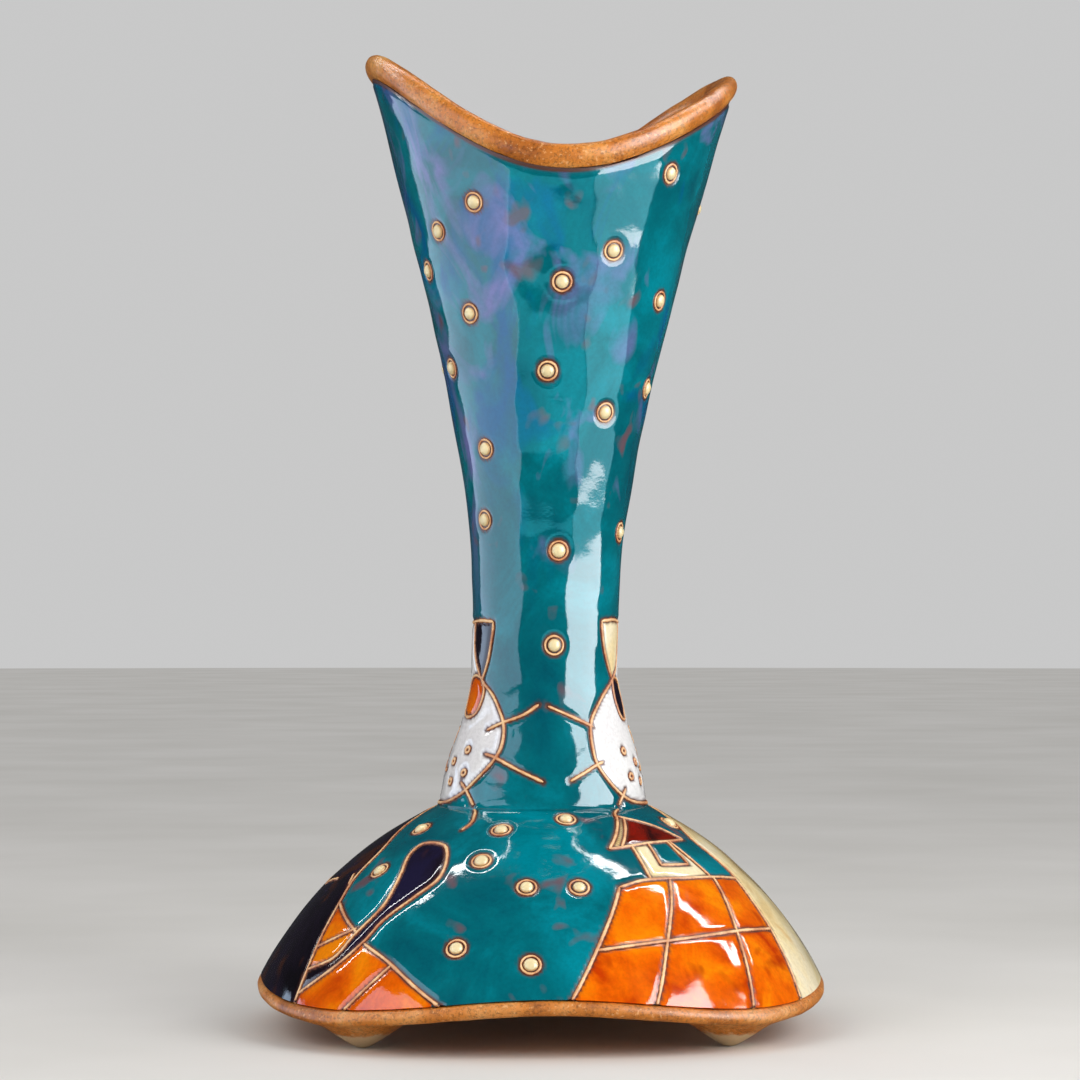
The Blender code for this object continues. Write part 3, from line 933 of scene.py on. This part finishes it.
class VASE_OT_neck(bpy.types.Operator):
    """Make the flared neck, with the two animals' heads at its foot"""

    bl_idname = "vase.neck"
    bl_label = "Neck"

    def execute(self, context):
        foot = JOINT_HEIGHT - JOINT_OVERLAP
        outer = [
            (neck_radius(z) + JOINT_FILLET * math.exp(-abs(z - JOINT_HEIGHT) / JOINT_FILLET), z)
            for z in np.linspace(foot, MOUTH_HEIGHT, NECK_ROWS)
        ]
        inner = [(neck_radius(z) - NECK_WALL, z) for z in np.linspace(MOUTH_HEIGHT, foot, NECK_INNER_ROWS)]
        piece = turned("glazed_neck", outer + inner, NECK_STEPS)
        reshape(piece, shape_neck)
        leave_hand_marks(piece, lambda p: smoothstep(JOINT_HEIGHT, JOINT_HEIGHT + 6, p[:, 2]))
        around = np.linspace(-180, 180, 97)
        under_rim = np.stack([around, mouth_height(np.radians(around)) - GROOVE_BELOW_MOUTH], axis=1)
        grooves = [evenly_spaced(neck_surface(under_rim), LINE_SPACING)]
        fills = LEFT_FILLS + RIGHT_FILLS
        fills = fills + [(glaze_name, 180 - azimuth, z) for glaze_name, azimuth, z in fills]
        _, radius, height = from_polar(upright(points_of(piece)))
        outside = radius > neck_radius(height) - NECK_WALL / 2
        make_wall(piece, "neck", self.lines(), grooves, fills, neck_surface, outside)
        for polygon in piece.data.polygons:
            if not any(outside[v] for v in polygon.vertices):
                polygon.material_index = len(GLAZES)
        finish_piece(piece, ["neck"], shared_glazes() + [inside_wash()])
        return {"FINISHED"}

    def lines(self):
        """The heads' outlines and features, and the rings of the dots on their cheeks."""
        lines = line_points(mirrored(LEFT_HEAD + RIGHT_HEAD), neck_surface)
        turns = np.linspace(0, math.tau, 9)
        front, back = mirrored([CHEEK_DOTS])
        for azimuth, height in front + back:
            dot = [
                (azimuth + DOT_HALF_WIDTH * math.cos(t), height + DOT_HALF_HEIGHT * math.sin(t))
                for t in turns
            ]
            lines.append(evenly_spaced(neck_surface(smooth_path(dot, 6)), DOT_SPACING))
        return lines


class VASE_OT_shoulder(bpy.types.Operator):
    """Make the domed shoulder, with its tiles, house and the two animals' bodies"""

    bl_idname = "vase.shoulder"
    bl_label = "Shoulder"

    def execute(self, context):
        sole = [(EDGE_RADIUS - 0.5, EDGE_HEIGHT + 0.05)]
        outer = [dome_section(share) for share in np.linspace(*SHOULDER_SPAN, SHOULDER_ROWS)]
        inner_shares = np.linspace(*SHOULDER_INNER_SPAN, SHOULDER_INNER_ROWS)
        inner = [dome_section(share, SHOULDER_WALL) for share in inner_shares]
        piece = turned("glazed_shoulder", sole + outer + inner, SHOULDER_STEPS)
        reshape(piece, shape_body)
        leave_hand_marks(piece, self.marks_share)
        lines = line_points(mirrored(FLANKS) + turned_back(TILES_AND_TAIL) + HOUSE, shoulder_surface)
        fills = FLANK_FILLS + TILE_FILLS + HOUSE_FILLS
        fills = fills + [(glaze_name, azimuth + BACK_TURN, up) for glaze_name, azimuth, up in TILE_FILLS]
        outside = normals_of(piece)[:, 2] > -0.2  # all but the underside
        make_wall(piece, "shoulder", lines, [], fills, shoulder_surface, outside)
        finish_piece(piece, ["shoulder"], shared_glazes())
        return {"FINISHED"}

    def marks_share(self, points):
        """Hand marks fade out towards the base's edge and the neck."""
        height = points[:, 2]
        above_edge = smoothstep(EDGE_HEIGHT + 2, EDGE_HEIGHT + 8, height)
        below_neck = 1 - smoothstep(JOINT_HEIGHT - 4, JOINT_HEIGHT, height)
        return SHOULDER_MARKS * np.minimum(above_edge, below_neck)


class VASE_OT_rim(bpy.types.Operator):
    """Make the rolled rim of the mouth"""

    bl_idname = "vase.rim"
    bl_label = "Rim"

    def execute(self, context):
        tilt = math.atan(FLARE_SLOPE)
        centre_height = 2.6  # of the roll's widest place, above the mouth
        half_height = RIM_HEIGHT - centre_height
        start = math.asin(-centre_height / half_height)
        mid_radius = neck_radius(MOUTH_HEIGHT) - NECK_WALL / 2
        section = []  # it slants outwards with the neck, and its foot stays nearly level
        for turn in np.linspace(start, math.pi - start, RIM_ROWS):
            across = RIM_HALF_WIDTH * math.cos(turn)
            up = centre_height + half_height * math.sin(turn)
            radius = mid_radius + across * math.cos(tilt) + up * math.sin(tilt)
            section.append((radius, MOUTH_HEIGHT + up * math.cos(tilt) - 0.1 * across * math.sin(tilt)))
        piece = turned("rolled_rim", section, NECK_STEPS)
        reshape(piece, shape_rim)
        points = points_of(piece)
        broad_swell = 0.22 * unevenness(points, 9)
        small_swell = 0.08 * unevenness(points + 30, 3)
        push_out(piece, broad_swell + small_swell)
        finish_piece(piece, ["mouth_rim"], [rim_clay()])
        return {"FINISHED"}


class VASE_OT_base(bpy.types.Operator):
    """Make the floor slab with its rounded edge, and the feet pulled out of it"""

    bl_idname = "vase.base"
    bl_label = "Base and feet"

    def execute(self, context):
        top = EDGE_HEIGHT - SLAB_SEAT
        nose = SLAB_THICKNESS / 2
        centre = EDGE_RADIUS + SLAB_OVERHANG - nose
        floor_radii = (0, 30, 62)
        inside = [(r, top + slab_rise(r)) for r in floor_radii]
        edge = [
            (centre + nose * math.cos(a), top - nose + nose * math.sin(a) + slab_rise(centre))
            for a in np.radians(np.linspace(90, -90, NOSE_ROWS))
        ]
        feet_radii = np.arange(centre - UNDERSIDE_STEP, 44, -UNDERSIDE_STEP)
        middle_radii = (40, 35, 30, 22, 12, 0)
        under = [(r, top - SLAB_THICKNESS + slab_rise(r)) for r in (*feet_radii, *middle_radii)]
        piece = turned("base_and_feet", inside + edge + under, BASE_STEPS, closed=False)
        reshape(piece, shape_body)
        self.pull_feet(piece)
        replaced = ["floor_slab"] + [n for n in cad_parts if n.startswith("foot_")]
        finish_piece(piece, replaced, [base_clay()])
        return {"FINISHED"}

    def pull_feet(self, piece):
        """Draws four soft cones down to the floor out of the slab's underside, and marks where they wear."""
        points = points_of(piece)
        normals = normals_of(piece)
        corners = np.radians(np.array([45, 135, 225, 315])) + BODY_TURN
        feet = polar(corners, FOOT_REACH, 0)
        reach = np.min([np.hypot(points[:, 0] - x, points[:, 1] - y) for x, y, _ in feet], axis=0)
        cone = FOOT_SLOPE * (np.hypot(reach, FOOT_TIP_RADIUS) - FOOT_TIP_RADIUS)
        pulled = -FOOT_BLEND * np.log(np.exp(-points[:, 2] / FOOT_BLEND) + np.exp(-cone / FOOT_BLEND))
        underneath = 1 - smoothstep(-0.3, 0.3, normals[:, 2])
        points[:, 2] += underneath * (np.maximum(pulled, 0) - points[:, 2])
        grain = 0.12 * unevenness(points, 7) * smoothstep(0.0, 3.0, points[:, 2])
        set_points(piece, points + normals * grain[:, None])
        set_attribute(piece, "worn", 1 - smoothstep(FOOT_BARE, FOOT_WASHED, reach))


class VASE_OT_beads(bpy.types.Operator):
    """Make the slip beads and set them in their rings"""

    bl_idname = "vase.beads"
    bl_label = "Beads"

    def execute(self, context):
        radius = settings().bead_radius / MM
        dome = [
            (radius * math.cos(a), BEAD_SQUASH * radius * math.sin(a) - BEAD_SINK)
            for a in np.radians(np.linspace(0, 90, BEAD_ROWS))
        ]
        pattern = turned("bead", [*dome, (0, -BEAD_SINK)], BEAD_STEPS)
        offset = points_of(pattern)
        material = bead_glaze()
        for prefix, wall in (("neck_bead", "glazed_neck"), ("shoulder_bead", "glazed_shoulder")):
            tree = wall_tree(bpy.data.objects[wall])
            for number, (name, place, normal) in enumerate(bead_places(prefix, tree)):
                bead = bpy.data.objects.new(f"slip_{name}", pattern.data.copy())
                context.scene.collection.objects.link(bead)
                size = 1 + 0.14 * noise.noise(place / 3)
                turn = np.array(normal.to_track_quat("Z", "Y").to_matrix())
                lumpy = offset * (size * (1 + 0.05 * math.sin(number)), size, size)
                set_points(bead, lumpy @ turn.T + np.array(place))
                set_attribute(bead, "edge", np.hypot(offset[:, 0], offset[:, 1]) / radius)
                finish_piece(bead, [name], [material])
        bpy.data.objects.remove(pattern)
        return {"FINISHED"}


class VASE_OT_stage(bpy.types.Operator):
    """Set the pale floor, the soft lights and the camera"""

    bl_idname = "vase.stage"
    bl_label = "Stage"

    def execute(self, context):
        self.add_floor(context)
        self.add_world(context)
        for light in GLAZE_LIGHTS:
            self.add_light("glaze_light", *light, diffuse=False)
        for light in FILL_LIGHTS:
            self.add_light("fill_light", *light, glossy=False)
        self.add_camera(context)
        context.scene.view_settings.view_transform = "Standard"
        return {"FINISHED"}

    def add_floor(self, context):
        bpy.ops.object.select_all(action="DESELECT")
        bpy.ops.mesh.primitive_circle_add(
            vertices=96, radius=FLOOR_RADIUS * MM, fill_type="NGON", location=(0, 0, 0)
        )
        floor = context.object
        floor.name = "floor"
        material, tree, shader = new_material("floor_paper", Roughness=0.9, Specular_IOR_Level=0.0)
        tone = ramp(tree, clouds(tree, 6, 3), [(0.3, paint(220, 218, 214)), (0.7, paint(230, 228, 225))])
        tree.links.new(tone, shader.inputs["Base Color"])
        floor.data.materials.append(material)
        floor.visible_glossy = False

    def add_world(self, context):
        """Even daylight all round, kept out of the glaze's reflections."""
        world = bpy.data.worlds.new("soft_daylight")
        context.scene.world = world
        world.use_nodes = True
        tree = world.node_tree
        background = tree.nodes["Background"]
        rays = add_node(tree, "ShaderNodeLightPath")
        colour = blend(tree, rays.outputs["Is Glossy Ray"], paint(232, 232, 232), paint(58, 58, 60))
        tree.links.new(colour, background.inputs["Color"])
        background.inputs["Strength"].default_value = DAYLIGHT

    def add_light(self, name, place, target, width_way, size, power, colour, diffuse=True, glossy=True):
        """A soft box of light that the camera never sees. diffuse and glossy say what it reaches."""
        place, backwards = Vector(place) * MM, (Vector(place) - Vector(target)).normalized()
        upwards = backwards.cross(Vector(width_way)).normalized()
        turn = Matrix((upwards.cross(backwards), upwards, backwards)).transposed().to_euler()
        bpy.ops.object.select_all(action="DESELECT")
        bpy.ops.object.light_add(type="AREA", location=place, rotation=turn)
        light = bpy.context.object
        light.name = light.data.name = name
        light.data.shape = "RECTANGLE"
        light.data.size, light.data.size_y = size[0] * MM, size[1] * MM
        light.data.energy = power
        light.data.color = colour
        light.visible_camera = False
        light.visible_diffuse = diffuse
        light.visible_glossy = glossy

    def add_camera(self, context):
        place = (0, -CAMERA_DISTANCE * MM, CAMERA_HEIGHT * MM)
        bpy.ops.object.select_all(action="DESELECT")
        bpy.ops.object.camera_add(location=place, rotation=(math.pi / 2 + CAMERA_PITCH, 0, 0))
        camera = context.object
        camera.data.sensor_width = CAMERA_SENSOR
        camera.data.lens = CAMERA_LENS
        camera.data.clip_start = 0.01
        context.scene.camera = camera


class VASE_PT_panel(bpy.types.Panel):
    """The vase's pieces, in the order they are made"""

    bl_label = "Vase"
    bl_idname = "VASE_PT_panel"
    bl_space_type = "VIEW_3D"
    bl_region_type = "UI"
    bl_category = "Vase"

    def draw(self, context):
        for name in VaseSettings.__annotations__:
            self.layout.prop(context.scene.vase, name)
        for operator in OPERATORS:
            self.layout.operator(operator.bl_idname)


OPERATORS = (VASE_OT_stage, VASE_OT_neck, VASE_OT_shoulder, VASE_OT_rim, VASE_OT_base, VASE_OT_beads)
CLASSES = (VaseSettings, *OPERATORS, VASE_PT_panel)


def register():
    for item in CLASSES:
        bpy.utils.register_class(item)
    bpy.types.Scene.vase = bpy.props.PointerProperty(type=VaseSettings)


def unregister():
    del bpy.types.Scene.vase
    for item in reversed(CLASSES):
        bpy.utils.unregister_class(item)


def main():
    register()
    bpy.ops.vase.stage()
    bpy.ops.vase.neck()
    bpy.ops.vase.shoulder()
    bpy.ops.vase.rim()
    bpy.ops.vase.base()
    bpy.ops.vase.beads()


if __name__ == "__main__":
    main()
